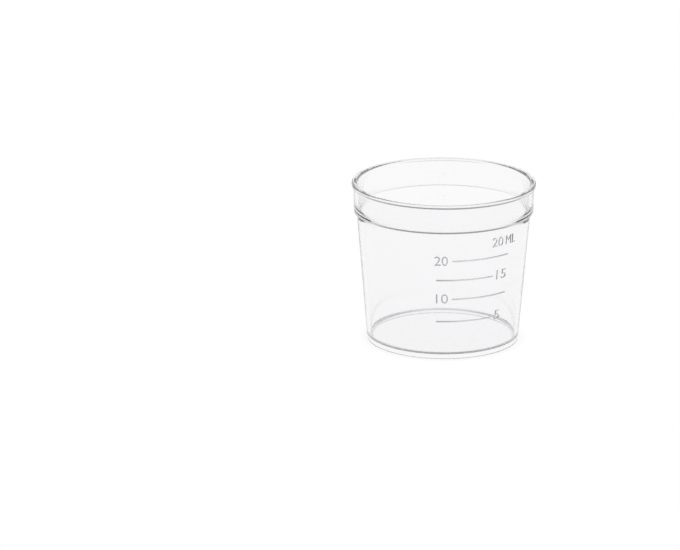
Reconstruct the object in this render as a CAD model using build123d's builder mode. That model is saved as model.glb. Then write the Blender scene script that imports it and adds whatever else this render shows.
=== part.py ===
from build123d import *
import os
from math import cos, radians, sin

# Medicine cup: one clear plastic moulding with a stepped collar, a proud rim
# and the graduations of a volume scale raised on its outside.
# Sizes are in millimetres. The origin is the centre of the foot and +Z goes up
# to the mouth. Angles of the scale count from the front, -Y, towards +X.

# Driving dimensions: outer radii of the tapered body, at the foot and under the collar
base_radius = 17.55
shoulder_radius = 20.05

# Driving dimensions: how far each step stands out past what is below it,
# and how far its underside rises from its edge inwards, as a drip edge does
ledge_width = 0.65
ledge_undercut = 0.37
collar_flare = 0.08
rim_proud = 0.42
rim_undercut = 0.38

# Driving dimensions: heights, from the foot up
foot_recess_depth = 1.0
floor_thickness = 0.45
body_height = 30.6
inner_ledge_rise = 0.85
collar_height = 6.85
rim_height = 0.92

# Driving dimensions: the walls and the ring that the cup stands on
body_wall = 0.85
collar_wall = 0.9
foot_width = 1.15

# Driving dimensions: the rim's rounding, where it meets the lips, and the bevels
rim_rounding = 0.35
rim_inner_bevel = 0.25
rim_lower_bevel = 0.06
ledge_bevel = 0.08
base_bevel = 0.12
floor_bevel = 0.55

# Driving dimensions: the graduations' ribs, drafted so that they leave the mould,
# and each graduation's height above the foot, first angle and last angle
rib_width = 0.36
rib_crest_width = 0.16
rib_proud = 0.15
graduations = {
    "5 ml": (9.25, -6.4, 35.1),
    "10 ml": (14.65, 4.7, 47.4),
    "15 ml": (19.25, -6.4, 35.1),
    "20 ml": (23.85, 4.7, 47.4),
}

# Radii and heights that follow from the driving dimensions
collar_bottom_radius = shoulder_radius + ledge_width
collar_top_radius = collar_bottom_radius + collar_flare
rim_radius = collar_top_radius + rim_proud
foot_recess_radius = base_radius - foot_width
floor_height = foot_recess_depth + floor_thickness
inner_ledge_height = body_height + inner_ledge_rise
cup_height = body_height + collar_height
rim_underside = cup_height - rim_height
ledge_root = body_height + ledge_undercut
rim_root = rim_underside + rim_undercut

# The body widens with height, and the collar a little
body_slope = (shoulder_radius - base_radius) / body_height
collar_slope = collar_flare / collar_height


def body_radius(height):
    """Outer radius of the tapered body at a height."""
    return base_radius + body_slope * height


def collar_radius(height):
    """Outer radius of the collar at a height."""
    return collar_bottom_radius + collar_slope * (height - body_height)


# Corners of the wall's section as radius, height and bevel,
# up the outside from the foot, down the inside and back under the floor
outside = [
    (foot_recess_radius, 0, 0),
    (base_radius, 0, base_bevel),
    (body_radius(ledge_root), ledge_root, 0),
    (collar_bottom_radius, body_height, ledge_bevel),
    (collar_radius(rim_root), rim_root, 0),
    (rim_radius, rim_underside, rim_lower_bevel),
    (rim_radius, cup_height, 0),
]
inside = [
    (collar_top_radius - collar_wall, cup_height, rim_inner_bevel),
    (collar_radius(inner_ledge_height) - collar_wall, inner_ledge_height, 0),
    (body_radius(inner_ledge_height) - body_wall, inner_ledge_height, ledge_bevel),
    (body_radius(floor_height) - body_wall, floor_height, floor_bevel),
    (0, floor_height, 0),
]
underside = [
    (0, foot_recess_depth, 0),
    (foot_recess_radius, foot_recess_depth, 0),
]
corners = outside + inside + underside


def outwards(angle):
    """Level direction that points out of the cup at an angle of the scale."""
    return Vector(sin(radians(angle)), -cos(radians(angle)), 0)


with BuildPart() as cup:
    # Wall, collar, rim, floor and foot are one section turned about +Z
    with BuildSketch(Plane.XZ) as section:
        with BuildLine():
            Polyline([(radius, height) for radius, height, bevel in corners], close=True)
        make_face()
        for radius, height, bevel in corners:
            if bevel:
                corner = section.vertices().sort_by_distance((radius, height, 0))[0]
                chamfer(corner, bevel)
        lip = section.vertices().sort_by_distance((rim_radius, cup_height, 0))[0]
        fillet(lip, rim_rounding)
    revolve(axis=Axis.Z)

    # Each graduation is a drafted rib bent round the body, rooted inside the wall
    for height, first_angle, last_angle in graduations.values():
        start = outwards(first_angle)
        root = body_radius(height) - body_wall / 2
        crest = body_radius(height) + rib_proud
        root_width = rib_width + (rib_width - rib_crest_width) * (body_wall / 2) / rib_proud
        with BuildSketch(Plane(origin=(0, 0, 0), x_dir=start, z_dir=start.cross(Vector(0, 0, 1)))):
            with BuildLine():
                Polyline(
                    (root, height - root_width / 2),
                    (crest, height - rib_crest_width / 2),
                    (crest, height + rib_crest_width / 2),
                    (root, height + root_width / 2),
                    close=True,
                )
            make_face()
        revolve(axis=Axis.Z, revolution_arc=last_angle - first_angle)

cup.part.label = "cup"

os.makedirs("parts", exist_ok=True)
export_step(cup.part, "parts/cup.step")
print(f"cup: {cup.part.volume / 1000:.2f} cm3 of plastic, {len(cup.part.solids())} solid")
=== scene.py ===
# %% [markdown]
# # A clear plastic medicine cup
#
# This lesson dresses one moulded cup for a render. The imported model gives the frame: its
# size, its place and the body that new pieces ride on. The cup is one piece of clear
# polystyrene, so its look comes from three things: a true wall with an inside and an
# outside, small roundings that gather dark and light lines, and a studio for the plastic
# to bend and mirror.

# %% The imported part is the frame
from math import cos, pi, radians, sin

import bmesh
import bpy
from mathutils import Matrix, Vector


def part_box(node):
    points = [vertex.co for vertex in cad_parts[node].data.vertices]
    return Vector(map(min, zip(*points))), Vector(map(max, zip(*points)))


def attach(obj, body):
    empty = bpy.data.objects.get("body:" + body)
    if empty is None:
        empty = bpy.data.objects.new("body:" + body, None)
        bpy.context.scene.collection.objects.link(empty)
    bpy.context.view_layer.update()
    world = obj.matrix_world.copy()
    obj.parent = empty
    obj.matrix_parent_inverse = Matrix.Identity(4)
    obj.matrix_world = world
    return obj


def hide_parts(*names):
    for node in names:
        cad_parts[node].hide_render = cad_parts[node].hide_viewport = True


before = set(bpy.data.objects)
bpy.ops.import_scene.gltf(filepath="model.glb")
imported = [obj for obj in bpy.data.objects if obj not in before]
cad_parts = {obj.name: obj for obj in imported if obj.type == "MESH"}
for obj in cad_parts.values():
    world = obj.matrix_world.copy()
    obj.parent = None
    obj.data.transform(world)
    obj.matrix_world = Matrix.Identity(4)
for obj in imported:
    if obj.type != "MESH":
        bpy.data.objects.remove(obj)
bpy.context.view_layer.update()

MM = 0.001
cad_low, cad_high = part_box("cup")
print("the cup is", [round(side / MM, 2) for side in cad_high - cad_low], "mm")

# %% [markdown]
# ## The sizes of the moulding
#
# The height and the rim's radius come from the frame. The other sizes are in metres and
# close to the part's own, with a few of them set by what light does inside a clear wall.
# The undersides of the rim and of the ledge rise inwards from their edges, so that each
# draws one thin dark line. Inside the collar the wall bends softly inwards, because a flat
# step there would draw a second ring in front. The top of the rim dips towards the mouth,
# and the body's wall thins towards the collar, which keeps the outline clean and dark.
#
# The section could be drawn as one smooth curve. A list of corners is easier to change:
# each is a radius, a height and the size of its rounding. The moulding has no sharp
# corner, because a mould that is cut with round tools leaves none, and each rounding
# draws one of the grey lines that show where clear plastic is.

# %% Steps, heights and walls
rim_radius = cad_high.x
cup_height = cad_high.z
rim_proud = 0.42 * MM
rim_undercut = 0.33 * MM
rim_height = 0.96 * MM
collar_flare = 0.08 * MM
collar_height = 6.85 * MM
ledge_width = 0.65 * MM
ledge_undercut = 0.4 * MM
bend_rise = 1.35 * MM
bend_fall = 0.75 * MM
base_radius = 17.55 * MM
body_wall = 0.85 * MM
shoulder_wall = 0.68 * MM
collar_wall = 0.92 * MM
lip_wall = 0.88 * MM
lip_dip = 0.25 * MM
foot_width = 1.02 * MM
foot_recess_depth = 1.05 * MM
foot_recess_draft = 0.05 * MM
floor_thickness = 0.45 * MM

# %% The roundings
foot_recess_rounding = 0.05 * MM
foot_rounding = 0.14 * MM
ledge_root_rounding = 0.12 * MM
ledge_edge_rounding = 0.04 * MM
rim_root_rounding = 0.04 * MM
rim_edge_rounding = 0.06 * MM
rim_top_rounding = 0.35 * MM
lip_rounding = 0.35 * MM
bend_top_rounding = 0.7 * MM
bend_foot_rounding = 0.8 * MM
floor_rounding = 0.28 * MM

# %% What follows from the sizes
collar_top_radius = rim_radius - rim_proud
collar_bottom_radius = collar_top_radius - collar_flare
shoulder_radius = collar_bottom_radius - ledge_width
body_height = cup_height - collar_height
bend_top = body_height + bend_rise
bend_foot = body_height - bend_fall
rim_underside = cup_height - rim_height
rim_root = rim_underside + rim_undercut
ledge_root = body_height + ledge_undercut
floor_height = foot_recess_depth + floor_thickness
foot_recess_radius = base_radius - foot_width
body_slope = (shoulder_radius - base_radius) / body_height
collar_slope = collar_flare / collar_height


def body_radius(height):
    """Outer radius of the tapered body at a height."""
    return base_radius + body_slope * height


def collar_radius(height):
    """Outer radius of the collar at a height."""
    return collar_bottom_radius + collar_slope * (height - body_height)


# %% The corners of the section, from under the floor, up the outside and down the inside
section = [
    (foot_recess_radius - foot_recess_draft, foot_recess_depth, foot_recess_rounding),
    (foot_recess_radius, 0, foot_rounding),
    (base_radius, 0, foot_rounding),
    (body_radius(ledge_root), ledge_root, ledge_root_rounding),
    (collar_bottom_radius, body_height, ledge_edge_rounding),
    (collar_radius(rim_root), rim_root, rim_root_rounding),
    (rim_radius, rim_underside, rim_edge_rounding),
    (rim_radius, cup_height, rim_top_rounding),
    (collar_top_radius - lip_wall, cup_height - lip_dip, lip_rounding),
    (collar_radius(bend_top) - collar_wall, bend_top, bend_top_rounding),
    (body_radius(bend_foot) - shoulder_wall, bend_foot, bend_foot_rounding),
    (body_radius(floor_height) - body_wall, floor_height, floor_rounding),
]
print("the section has", len(section), "corners")

# %% [markdown]
# ## The wall, turned from rings
#
# A turned part could be a spun outline or a pile of rings. Rings are easier to steer:
# a circle is added at the hollow under the foot, and each next ring is the last one,
# extruded up or down and scaled about the axis. Beside every rounding goes a guard ring,
# so that the smooth shading of the rounding stays in its own strip and the long walls
# keep their true reflections.

# %% From corners to rings
AROUND = 384
GUARD = 0.1 * MM
LONGEST_RUN = 1.6 * MM


def between(start, end):
    """Rings between two corners: a guard ring beside each, and even steps on a long wall."""
    (radius_0, height_0, rounding_0), (radius_1, height_1, rounding_1) = start, end
    length = ((radius_1 - radius_0) ** 2 + (height_1 - height_0) ** 2) ** 0.5
    first = (rounding_0 + GUARD) / length
    last = 1 - (rounding_1 + GUARD) / length
    if last <= first:
        return []
    steps = max(1, round((last - first) * length / LONGEST_RUN))
    shares = [first + (last - first) * step / steps for step in range(steps + 1)]
    return [
        (radius_0 + (radius_1 - radius_0) * share, height_0 + (height_1 - height_0) * share)
        for share in shares
    ]


rings = [section[0][:2]]
for start, end in zip(section, section[1:]):
    rings += between(start, end) + [end[:2]]
print(len(rings), "rings of", AROUND, "points")


# %% Extrude the rings
def extrude_to(old, new):
    """Extrudes the selected ring and carries the copy to its own radius and height."""
    (old_radius, old_height), (new_radius, new_height) = old, new
    bpy.ops.mesh.extrude_edges_move(
        TRANSFORM_OT_translate={"value": (0, 0, new_height - old_height)}
    )
    scale = new_radius / old_radius
    bpy.ops.transform.resize(value=(scale, scale, 1), center_override=(0, 0, 0))


bpy.ops.object.select_all(action="DESELECT")
bpy.ops.mesh.primitive_circle_add(
    vertices=AROUND, radius=rings[0][0], location=(0, 0, rings[0][1])
)
cup = bpy.context.object
cup.name = "clear_cup"
cup.data.name = "clear_cup"
bpy.ops.object.transform_apply(location=True, rotation=False, scale=False)
bpy.ops.object.mode_set(mode="EDIT")
bpy.ops.mesh.select_mode(type="EDGE")
bpy.ops.mesh.select_all(action="SELECT")
for old, new in zip(rings, rings[1:]):
    extrude_to(old, new)
print("the open wall has", len(bmesh.from_edit_mesh(cup.data).faces), "faces")

# %% [markdown]
# ## The floor and the round corners
#
# Two rings are still open: round the floor of the bowl, and round the hollow under the
# foot. Each is filled with one face that is inset and poked, so that a band of four-sided
# faces lies beside the corner and the fan of triangles stays in the middle. The roundings
# could be rings of their own from the start. A bevel on each corner's ring makes one with
# a single operator, and every corner keeps its own size.

# %% Close the floor and the hollow under the foot
CLOSE = 0.002 * MM
BAND_BESIDE_CORNER = 1.0 * MM


def select_ring(radius, height):
    """Selects the edges that run round the cup at a radius and a height."""
    bpy.ops.mesh.select_all(action="DESELECT")
    mesh = bmesh.from_edit_mesh(cup.data)
    there = {
        vertex
        for vertex in mesh.verts
        if abs(vertex.co.z - height) < CLOSE and abs(vertex.co.xy.length - radius) < CLOSE
    }
    for edge in mesh.edges:
        if edge.verts[0] in there and edge.verts[1] in there:
            edge.select_set(True)
    bmesh.update_edit_mesh(cup.data)
    return len(there)


for radius, height in (rings[0], rings[-1]):
    found = select_ring(radius, height)
    bpy.ops.mesh.edge_face_add()
    bpy.ops.mesh.inset(thickness=BAND_BESIDE_CORNER)
    bpy.ops.mesh.poke()
    print("closed a ring of", found, "points at height", round(height / MM, 2))

# %% Round the corners
FEWEST_SEGMENTS = 3
SEGMENT_LENGTH = 0.1 * MM
SAME_WALL_POINT = 0.0005 * MM
for radius, height, rounding in section:
    found = select_ring(radius, height)
    segments = FEWEST_SEGMENTS + round(rounding / SEGMENT_LENGTH)
    bpy.ops.mesh.bevel(offset=rounding, segments=segments, affect="EDGES")
    print("rounded", found, "points at radius", round(radius / MM, 2), "height", round(height / MM, 2))

bpy.ops.mesh.select_all(action="SELECT")
bpy.ops.mesh.remove_doubles(threshold=SAME_WALL_POINT)
bpy.ops.mesh.normals_make_consistent(inside=False)
bpy.ops.object.mode_set(mode="OBJECT")
print("the wall has", len(cup.data.polygons), "faces")

# %% [markdown]
# ## The raised lines
#
# The lines of the scale are beads with ball ends, which a round cutter leaves in a mould.
# A bead could be a curve with a thickness. Here it is a disc spun about the cup's axis,
# because a spin follows the wall exactly, and a bevel round the two end faces makes the
# balls. The middle of each bead lies just inside the wall, so no gap is left behind it.

# %% Beads round the body, each with its height and its first and last angle from the front
graduations = {
    "5": (9.25 * MM, -6.4, 35.1),
    "10": (14.65 * MM, 4.7, 47.4),
    "15": (19.25 * MM, -6.4, 35.1),
    "20": (23.85 * MM, 4.7, 47.4),
}
BEAD_RADIUS = 0.18 * MM
BEAD_SUNK = 0.03 * MM
BEAD_SIDES = 16
BEAD_END_ROUNDING = BEAD_RADIUS * 0.9
BEAD_END_SEGMENTS = 4
DEGREES_A_STEP = 0.75


def bead(name, height, first_angle, last_angle):
    """A line of the scale: a disc spun part of the way round the cup, its two ends rounded."""
    reach = body_radius(height) - BEAD_SUNK
    start = radians(first_angle)
    bpy.ops.object.select_all(action="DESELECT")
    bpy.ops.mesh.primitive_circle_add(
        vertices=BEAD_SIDES,
        radius=BEAD_RADIUS,
        fill_type="NGON",
        location=(reach * sin(start), -reach * cos(start), height),
        rotation=(pi / 2, 0, start + pi / 2),
    )
    line = bpy.context.object
    line.name = name
    bpy.ops.object.transform_apply(location=True, rotation=True, scale=False)
    bpy.ops.object.mode_set(mode="EDIT")
    bpy.ops.mesh.select_all(action="SELECT")
    bpy.ops.mesh.spin(
        steps=round((last_angle - first_angle) / DEGREES_A_STEP),
        angle=radians(last_angle - first_angle),
        center=(0, 0, 0),
        axis=(0, 0, -1),
    )
    bpy.ops.mesh.select_mode(type="FACE")
    mesh = bmesh.from_edit_mesh(line.data)
    for face in mesh.faces:
        face.select_set(len(face.verts) == BEAD_SIDES)
    bmesh.update_edit_mesh(line.data)
    bpy.ops.mesh.bevel(offset=BEAD_END_ROUNDING, segments=BEAD_END_SEGMENTS, affect="EDGES")
    bpy.ops.mesh.select_all(action="SELECT")
    bpy.ops.mesh.normals_make_consistent(inside=False)
    bpy.ops.object.mode_set(mode="OBJECT")
    return line


marks = []
for label, (height, first_angle, last_angle) in graduations.items():
    line = bead("line_" + label, height, first_angle, last_angle)
    marks.append(line)
    print(line.name, "has", len(line.data.polygons), "faces")

# %% [markdown]
# ## The raised numbers
#
# The numbers are thin letters with a rounded edge, engraved in the mould. They could be
# drawn stroke by stroke. A text object brings clean outlines, a thickness and a bevel. It
# is made into a mesh, and its width is then laid out as an angle, which bends it round
# the cone of the body. The letters are sunk into the wall, as the beads are.

# %% Numbers, each with its first and last angle from the front and the height of its middle
LETTER_HEIGHT = 2.2 * MM
CAPITAL_SHARE = 0.69
LETTER_PROUD = 0.15 * MM
LETTER_DEPTH = 0.45 * MM
LETTER_EDGE = 0.125 * MM
LETTER_EDGE_STEPS = 2
SAME_LETTER_POINT = 0.001 * MM
letters = [
    ("20", -7.4, 1.6, 23.93 * MM),
    ("10", -6.4, 2.0, 14.78 * MM),
    ("15", 37.9, 46.9, 19.36 * MM),
    ("5", 38.1, 43.2, 9.58 * MM),
    ("20", 32.9, 42.0, 27.38 * MM),
    ("ML", 44.5, 53.9, 27.38 * MM),
]


def number(name, body, first_angle, last_angle, middle):
    """Raised letters: text made into a mesh and bent round the tapered body."""
    bpy.ops.object.select_all(action="DESELECT")
    bpy.ops.object.text_add()
    text = bpy.context.object
    text.name = name
    text.data.body = body
    text.data.size = LETTER_HEIGHT / CAPITAL_SHARE
    text.data.offset = -LETTER_EDGE
    text.data.bevel_depth = LETTER_EDGE
    text.data.bevel_resolution = LETTER_EDGE_STEPS
    text.data.extrude = LETTER_DEPTH / 2 - LETTER_EDGE
    bpy.ops.object.convert(target="MESH")
    bpy.ops.object.mode_set(mode="EDIT")
    bpy.ops.mesh.select_all(action="SELECT")
    bpy.ops.mesh.remove_doubles(threshold=SAME_LETTER_POINT)
    bpy.ops.mesh.normals_make_consistent(inside=False)
    bpy.ops.object.mode_set(mode="OBJECT")
    left, right = [edge(v.co.x for v in text.data.vertices) for edge in (min, max)]
    low, high = [edge(v.co.y for v in text.data.vertices) for edge in (min, max)]
    for vertex in text.data.vertices:
        share = (vertex.co.x - left) / (right - left)
        angle = radians(first_angle + (last_angle - first_angle) * share)
        height = middle + vertex.co.y - (low + high) / 2
        reach = body_radius(height) + LETTER_PROUD - LETTER_DEPTH / 2 + vertex.co.z
        vertex.co = (reach * sin(angle), -reach * cos(angle), height)
    return text


for order, (body, first_angle, last_angle, middle) in enumerate(letters):
    text = number(f"number_{order}_{body}", body, first_angle, last_angle, middle)
    marks.append(text)
    print(text.name, "has", len(text.data.polygons), "faces")

# %% [markdown]
# ## One closed skin
#
# Light bends wherever it meets a surface. If the beads and numbers stayed separate
# shells, it would also bend where they are sunk in the wall, and draw lines that no
# moulding has. A Boolean union keeps only what shows. Smooth shading then runs over the
# roundings, and faces that meet at more than the named angle keep a crisp edge.

# %% Join the marks to the wall
SMOOTH_BELOW = radians(35)
bpy.ops.object.select_all(action="DESELECT")
for mark in marks:
    mark.select_set(True)
bpy.context.view_layer.objects.active = marks[0]
bpy.ops.object.join()
scale_marks = bpy.context.object

bpy.ops.object.select_all(action="DESELECT")
cup.select_set(True)
bpy.context.view_layer.objects.active = cup
bpy.ops.object.modifier_add(type="BOOLEAN")
union = cup.modifiers[-1]
union.operation = "UNION"
union.solver = "MANIFOLD"
union.object = scale_marks
bpy.ops.object.modifier_apply(modifier=union.name)
bpy.data.objects.remove(scale_marks)
cup.data.materials.clear()
bpy.ops.object.shade_smooth_by_angle(angle=SMOOTH_BELOW)
print("the cup has", len(cup.data.polygons), "faces")

# %% [markdown]
# ## Node maths as formulas
#
# A pattern is easier to read as a formula than as a web of nodes. One small class wraps
# a socket, and its operators add the Math nodes. Another wraps a node tree, and its one
# method adds any other node: the settings are set first, then the sockets. Nodes such as
# Mix have several sockets of one name, so theirs are found by their place in the list.

# %% Sockets that can be added and multiplied
MIX_FIRST_COLOUR = 6
MIX_SECOND_COLOUR = 7
MIXED_COLOUR = 2


class Wire:
    """A node's output. The operators + - * / and maths() add Math nodes after it."""

    def __init__(self, graph, socket):
        self.graph = graph
        self.socket = socket

    def maths(self, operation, *others):
        """This value and the others, put through one Math node."""
        values = dict(enumerate((self, *others)))
        return self.graph.out("ShaderNodeMath", "Value", {"operation": operation}, values)

    def __add__(self, other):
        return self.maths("ADD", other)

    def __sub__(self, other):
        return self.maths("SUBTRACT", other)

    def __mul__(self, other):
        return self.maths("MULTIPLY", other)

    def __truediv__(self, other):
        return self.maths("DIVIDE", other)

    def __rsub__(self, other):
        return self * -1.0 + other

    def __rtruediv__(self, other):
        return self.maths("POWER", -1.0) * other

    __radd__ = __add__
    __rmul__ = __mul__


class Graph:
    """The node tree of a material or of the world."""

    def __init__(self, owner):
        owner.use_nodes = True
        self.tree = owner.node_tree
        self.tree.nodes.clear()

    def add(self, kind, settings=None, sockets=None):
        """Adds a node. Settings come first, because they can change its sockets."""
        made = self.tree.nodes.new(kind)
        for name, value in (settings or {}).items():
            if name == "stops":
                self.set_stops(made.color_ramp.elements, value)
            else:
                setattr(made, name, value)
        for name, value in (sockets or {}).items():
            if isinstance(value, Wire):
                self.tree.links.new(value.socket, made.inputs[name])
            else:
                made.inputs[name].default_value = value
        return made

    def out(self, kind, output, settings=None, sockets=None):
        """Adds a node and returns one of its outputs."""
        return Wire(self, self.add(kind, settings, sockets).outputs[output])

    def set_stops(self, elements, stops):
        """Gives a colour ramp its stops, each a place and a grey level."""
        while len(elements) < len(stops):
            elements.new(0.5)
        for element, (place, level) in zip(elements, stops):
            element.position = place
            element.color = (level, level, level, 1.0)

    def mix(self, mask, first, second):
        """A colour that goes from the first to the second with the mask."""
        sockets = {"Factor": mask, MIX_FIRST_COLOUR: first, MIX_SECOND_COLOUR: second}
        return self.out("ShaderNodeMix", MIXED_COLOUR, {"data_type": "RGBA"}, sockets)


# %% [markdown]
# ## Clear polystyrene
#
# The plastic is a Principled surface that lets all light through. Polystyrene bends light
# more than glass does. It also soaks up a little light on the way, which hardly shows
# through one wall, but greys the rim, the steps and the outline, where light runs along
# inside the wall for a long way. A grey surface colour would darken every wall alike, so
# an absorbing volume does it. Slow waves a few thousandths of a millimetre high stand for
# the flow of the melt in the mould.
#
# The raised marks are cut rougher in the mould, so a mask finds them by their distance
# from the axis: whatever stands further out than the cone of the body is a mark. Their
# grey colour is painted shade, for the dark lines that light bent by a raised bead draws.
# Those that face the front get a darker painted shade than those further round, so their
# colour goes from one grey to the other.

# %% The finish of the plastic
POLYSTYRENE_BENDING = 1.59
LOSS_PER_METRE = 25.0
ABSORPTION_DENSITY = 100.0
BLUE_KEPT_MORE = 1.02
WAVE_SCALE = 110.0
WAVE_HEIGHT = 0.004 * MM
DRIFT_SCALE = 45.0
WALL_POLISH = (0.0, 0.03)
MARK_POLISH = 0.2
WALL_TINT = (0.98, 0.98, 0.985)
# Painted shade: the raised marks are painted grey for the dark lines that bent light draws in them,
# darker where they face the front.
MARK_PAINTED_SHADE = (0.62, 0.62, 0.64)
FRONT_MARK_PAINTED_SHADE = (0.22, 0.22, 0.23)
FRONT_MARKS_END = 5.0 * MM
FRONT_MARKS_FADE = 6.0 * MM
MARK_STARTS = 0.03 * MM
ROOM_ABOVE_MARKS = 0.96 * MM


def raised_mask(x, y, z):
    """1 on the raised marks, 0 on the wall: how far a point stands out of the body's cone."""
    out_of_cone = (x * x + y * y).maths("SQRT") - (z * body_slope + base_radius)
    on_body = z.maths("LESS_THAN", body_height - ROOM_ABOVE_MARKS)
    return out_of_cone.maths("GREATER_THAN", MARK_STARTS) * on_body


def finish_plastic(material):
    """Clear plastic: slow flow waves, a polish that drifts, rougher marks in painted grey shade, a
    grey depth.
    """
    graph = Graph(material)
    place = graph.out("ShaderNodeTexCoord", "Object")
    parts = graph.add("ShaderNodeSeparateXYZ", None, {"Vector": place})
    x, y, z = [Wire(graph, parts.outputs[axis]) for axis in "XYZ"]
    mark = raised_mask(x, y, z)
    # Painted shade: a darker grey on the marks towards the front, a lighter grey further round.
    front = (FRONT_MARKS_END - x) / FRONT_MARKS_FADE
    mark_painted_shade = graph.mix(front, (*MARK_PAINTED_SHADE, 1.0), (*FRONT_MARK_PAINTED_SHADE, 1.0))
    drift = graph.out("ShaderNodeTexNoise", "Fac", None, {"Vector": place, "Scale": DRIFT_SCALE})
    waves = graph.out("ShaderNodeTexNoise", "Fac", None, {"Vector": place, "Scale": WAVE_SCALE})
    bump = graph.out(
        "ShaderNodeBump", "Normal", None, {"Height": waves, "Strength": 1.0, "Distance": WAVE_HEIGHT}
    )
    smooth, dull = WALL_POLISH
    wall_polish = drift * (dull - smooth) + smooth
    surface = graph.out(
        "ShaderNodeBsdfPrincipled",
        "BSDF",
        None,
        {
            # The marks carry their painted shade in the base colour.
            "Base Color": graph.mix(mark, (*WALL_TINT, 1.0), mark_painted_shade),
            "Roughness": wall_polish + mark * (MARK_POLISH - dull),
            "IOR": POLYSTYRENE_BENDING,
            "Transmission Weight": 1.0,
            "Normal": bump,
        },
    )
    kept = 1.0 - LOSS_PER_METRE / ABSORPTION_DENSITY
    depth = graph.out(
        "ShaderNodeVolumeAbsorption",
        "Volume",
        None,
        {"Color": (kept, kept, kept * BLUE_KEPT_MORE, 1.0), "Density": ABSORPTION_DENSITY},
    )
    graph.add("ShaderNodeOutputMaterial", None, {"Surface": surface, "Volume": depth})
    print(material.name, "has", len(graph.tree.nodes), "nodes")


clear_plastic = bpy.data.materials.new("clear_plastic")
cup.data.materials.append(clear_plastic)
finish_plastic(clear_plastic)

# %% [markdown]
# ## The white table
#
# Clear plastic has hardly any colour of its own. What shows is what it mirrors and bends,
# so the studio is half of its look. A table could be lit until it is white, but the same
# light would fall on the cup and wash out its fine grey lines. Here the table is white
# paint mixed with a glow, and the mix depends on the ray: the camera, and rays that the
# plastic has mirrored or bent, meet the glow, and all others meet the paint. Close round
# the foot less of the glow is left for the camera. The paint shows there, with its own
# soft shadow, so the cup stands on the table and doesn't float.


# %% Which rays meet what
def ray_is(graph, kind):
    """1 for rays of one kind, 0 for all others."""
    return graph.out("ShaderNodeLightPath", f"Is {kind} Ray")


def by_way_of_plastic(graph):
    """1 for rays that the plastic has mirrored or bent, 0 for all others."""
    return ray_is(graph, "Glossy").maths("MAXIMUM", ray_is(graph, "Transmission"))


# %% The floor
FLOOR_SIZE = 4.0
FLOOR_DROP = 0.02 * MM
FLOOR_PAINT = (0.95, 0.95, 0.95, 1.0)
FLOOR_GLOW = 0.97
CONTACT_SHADOW = 0.3
CONTACT_REACH = 2.5 * MM


def finish_floor(material):
    """White paint with a glow for the camera and the plastic, weaker close round the foot."""
    graph = Graph(material)
    open_sky = graph.out("ShaderNodeAmbientOcclusion", "AO", None, {"Distance": CONTACT_REACH})
    near_foot = 1.0 - open_sky
    seen = ray_is(graph, "Camera") * (1.0 - near_foot * CONTACT_SHADOW)
    glowing = seen + by_way_of_plastic(graph) * FLOOR_GLOW
    paint = graph.out("ShaderNodeBsdfDiffuse", "BSDF", None, {"Color": FLOOR_PAINT})
    glow = graph.out("ShaderNodeEmission", "Emission", None, {"Strength": 1.0})
    surface = graph.out("ShaderNodeMixShader", "Shader", None, {0: glowing, 1: paint, 2: glow})
    graph.add("ShaderNodeOutputMaterial", None, {"Surface": surface})
    print(material.name, "has", len(graph.tree.nodes), "nodes")


bpy.ops.object.select_all(action="DESELECT")
bpy.ops.mesh.primitive_plane_add(size=FLOOR_SIZE, location=(0, 0, -FLOOR_DROP))
floor = bpy.context.object
floor.name = "floor"
white_floor = bpy.data.materials.new("white_floor")
floor.data.materials.append(white_floor)
finish_floor(white_floor)

# %% [markdown]
# ## The light all around
#
# The cup is lit evenly from all sides, as in a tent of white cloth. Lamps would also do,
# but each would leave a bright spot of its own in the wall. A world of one white lights
# the cup, and only for rays that the plastic has mirrored or bent does it turn grey high
# up. The rim, the steps and the outline bend the eye's view up there, and so they are
# drawn in grey.

# %% The world
SKY_STOPS = [(0.0, 1.0), (0.68, 1.0), (0.78, 0.5), (0.95, 0.35), (1.0, 0.3)]


def light_tent(world):
    """White light all round, greyer overhead for what the plastic mirrors and bends."""
    graph = Graph(world)
    direction = graph.out("ShaderNodeTexCoord", "Generated")
    parts = graph.add("ShaderNodeSeparateXYZ", None, {"Vector": direction})
    up = Wire(graph, parts.outputs["Z"])
    sky = graph.out("ShaderNodeValToRGB", "Color", {"stops": SKY_STOPS}, {"Fac": up * 0.5 + 0.5})
    level = graph.mix(by_way_of_plastic(graph), (1.0, 1.0, 1.0, 1.0), sky)
    background = graph.out("ShaderNodeBackground", "Background", None, {"Color": level})
    graph.add("ShaderNodeOutputWorld", None, {"Surface": background})
    print(world.name, "has", len(graph.tree.nodes), "nodes")


world = bpy.data.worlds.new("studio")
bpy.context.scene.world = world
light_tent(world)

# %% [markdown]
# ## The camera
#
# The camera stands almost a metre away with a long lens and looks down a little, so the
# ellipses of rim, ledge and foot are nearly of one shape. A short lens close by would
# look down on the foot more steeply than on the rim. The camera aims beside the cup,
# which stands in the right half of the picture. Light runs along inside a clear wall for
# a long way, so it may turn many times before it is given up as black.

# %% The camera and the bounces of light
TILT = radians(16.81)
DISTANCE = 0.9
AIM = Vector((-23.86 * MM, 0, 14.81 * MM))
LENS = 205.66
SENSOR_WIDTH = 36
NEAREST_SEEN = 0.01
FARTHEST_SEEN = 20
LIGHT_BOUNCES = 48
towards_camera = Vector((0, -cos(TILT), sin(TILT)))
bpy.ops.object.camera_add(
    location=AIM + DISTANCE * towards_camera, rotation=(pi / 2 - TILT, 0, 0)
)
camera = bpy.context.object
camera.data.lens = LENS
camera.data.sensor_width = SENSOR_WIDTH
camera.data.clip_start = NEAREST_SEEN
camera.data.clip_end = FARTHEST_SEEN
bpy.context.scene.camera = camera
bpy.context.scene.view_settings.view_transform = "Standard"
for kind in ("max", "glossy", "transmission"):
    setattr(bpy.context.scene.cycles, kind + "_bounces", LIGHT_BOUNCES)
print("the camera is", round(camera.location.z, 3), "m above the table")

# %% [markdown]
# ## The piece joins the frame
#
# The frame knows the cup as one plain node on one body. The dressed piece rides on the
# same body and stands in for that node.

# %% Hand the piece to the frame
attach(cup, "root")
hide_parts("cup")
